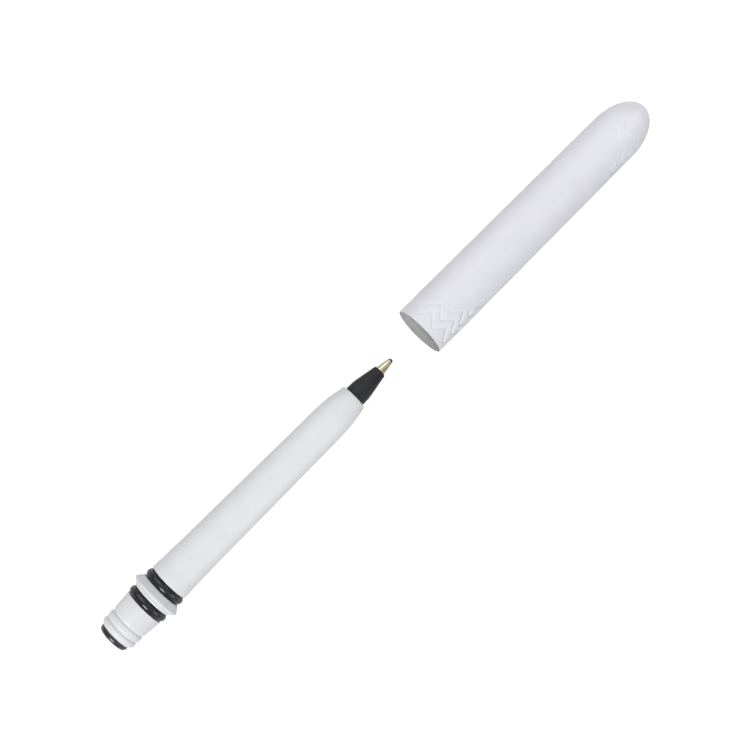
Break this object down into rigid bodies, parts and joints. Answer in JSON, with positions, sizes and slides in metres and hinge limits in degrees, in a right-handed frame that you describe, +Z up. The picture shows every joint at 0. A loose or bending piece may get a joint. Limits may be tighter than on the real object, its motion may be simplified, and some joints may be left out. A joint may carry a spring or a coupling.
{
  "type": "pocket pen",
  "caption": "Short round ballpoint pocket pen with its domed cap pulled off: tapered barrel, collar between two rubber sealing rings, black nose and brass point.",
  "frame": {"origin": "bottom centre of the bounding box, with the pen lying on a surface and its cap pulled off in line", "axes": "+X along the pen from its rear plug past the point to the end of the cap, +Z up from the surface, +Y to the pen's left"},
  "size_m": [0.1672, 0.0126, 0.0126],
  "materials": {
    "cap_plastic": "satin moulded, cool white",
    "barrel_plastic": "satin moulded, cool white",
    "plug_plastic": "glossy moulded",
    "ring_rubber": "smooth, slightly glossy",
    "nose_plastic": "fine matt",
    "point_brass": "turned, pale",
    "ball_carbide": "polished, inked",
    "tube_plastic": "clear extruded",
    "ink": "wet black",
    "follower_grease": "clear grease"
  },
  "bodies": {
    "pen": {"barrel": "barrel_plastic", "rear_plug": "plug_plastic", "rear_o_ring": "ring_rubber", "front_o_ring": "ring_rubber", "nose_cone": "nose_plastic", "point_body": "point_brass", "ink_tube": "tube_plastic", "ink_column": "ink", "ink_follower": "follower_grease"},
    "cap": {"cap_shell": "cap_plastic"},
    "ball": {"writing_ball": "ball_carbide"}
  },
  "joints": [
    {"name": "cap_slide", "type": "slide", "parent": "pen", "child": "cap", "axis": [-1, 0, 0], "range_m": [0, 0.08024]},
    {"name": "ball_roll", "type": "hinge", "parent": "pen", "child": "ball", "pos_m": [0.00041, 0, 0.00629], "axis": [0, 1, 0], "continuous": true}
  ]
}
